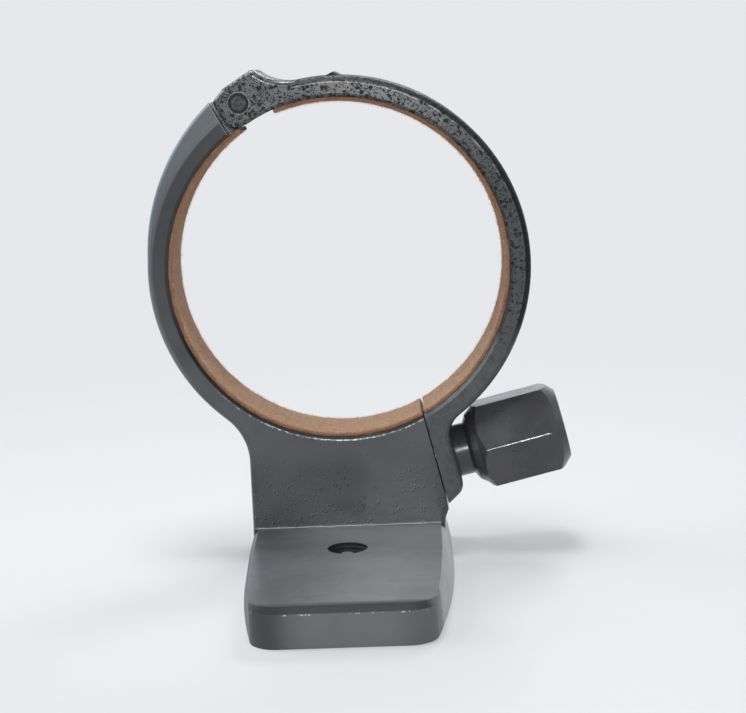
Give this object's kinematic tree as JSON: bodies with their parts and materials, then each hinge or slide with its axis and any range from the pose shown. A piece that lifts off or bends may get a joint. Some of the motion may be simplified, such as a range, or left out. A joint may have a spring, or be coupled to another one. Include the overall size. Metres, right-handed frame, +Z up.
{
  "type": "lens tripod collar",
  "caption": "Hinged felt-lined ring that clamps round a long lens barrel with a side knob and stands on a flat foot with a tripod thread.",
  "frame": {"origin": "tripod thread's axis on the underside of the foot", "axes": "+Z up; ring axis along Y with the ring on the +Y side of the thread; +X towards the clamp knob"},
  "size_m": [0.0865, 0.0706, 0.1027],
  "materials": {
    "casting": "satin grey, worn",
    "felt": "felt",
    "steel": "turned",
    "knob": "black anodised, satin",
    "washer": "matt"
  },
  "bodies": {
    "base": {"base_casting": "casting", "base_felt": "felt", "thread_bushing": "steel"},
    "arm": {"arm_casting": "casting", "arm_felt": "felt", "hinge_pin": "steel"},
    "washer": {"clamp_washer": "washer"},
    "knob": {"clamp_knob": "knob", "clamp_screw": "steel"}
  },
  "joints": [
    {"name": "arm_hinge", "type": "hinge", "parent": "base", "child": "arm", "pos_m": [-0.01877, 0.024, 0.09617], "axis": [0, -1, 0], "range_deg": [0, 80]},
    {"name": "knob_travel", "type": "slide", "parent": "arm", "child": "washer", "axis": [-0.9732, 0, -0.23], "range_m": [-0.002, 0.0009]},
    {"name": "knob_spin", "type": "hinge", "parent": "washer", "child": "knob", "pos_m": [0.02296, 0.024, 0.02114], "axis": [-0.9732, 0, -0.23], "range_deg": [-900, 405]}
  ],
  "couplings": [
    {"joint": "knob_travel", "follows": "knob_spin", "m_per_rad": 0.00012732}
  ]
}
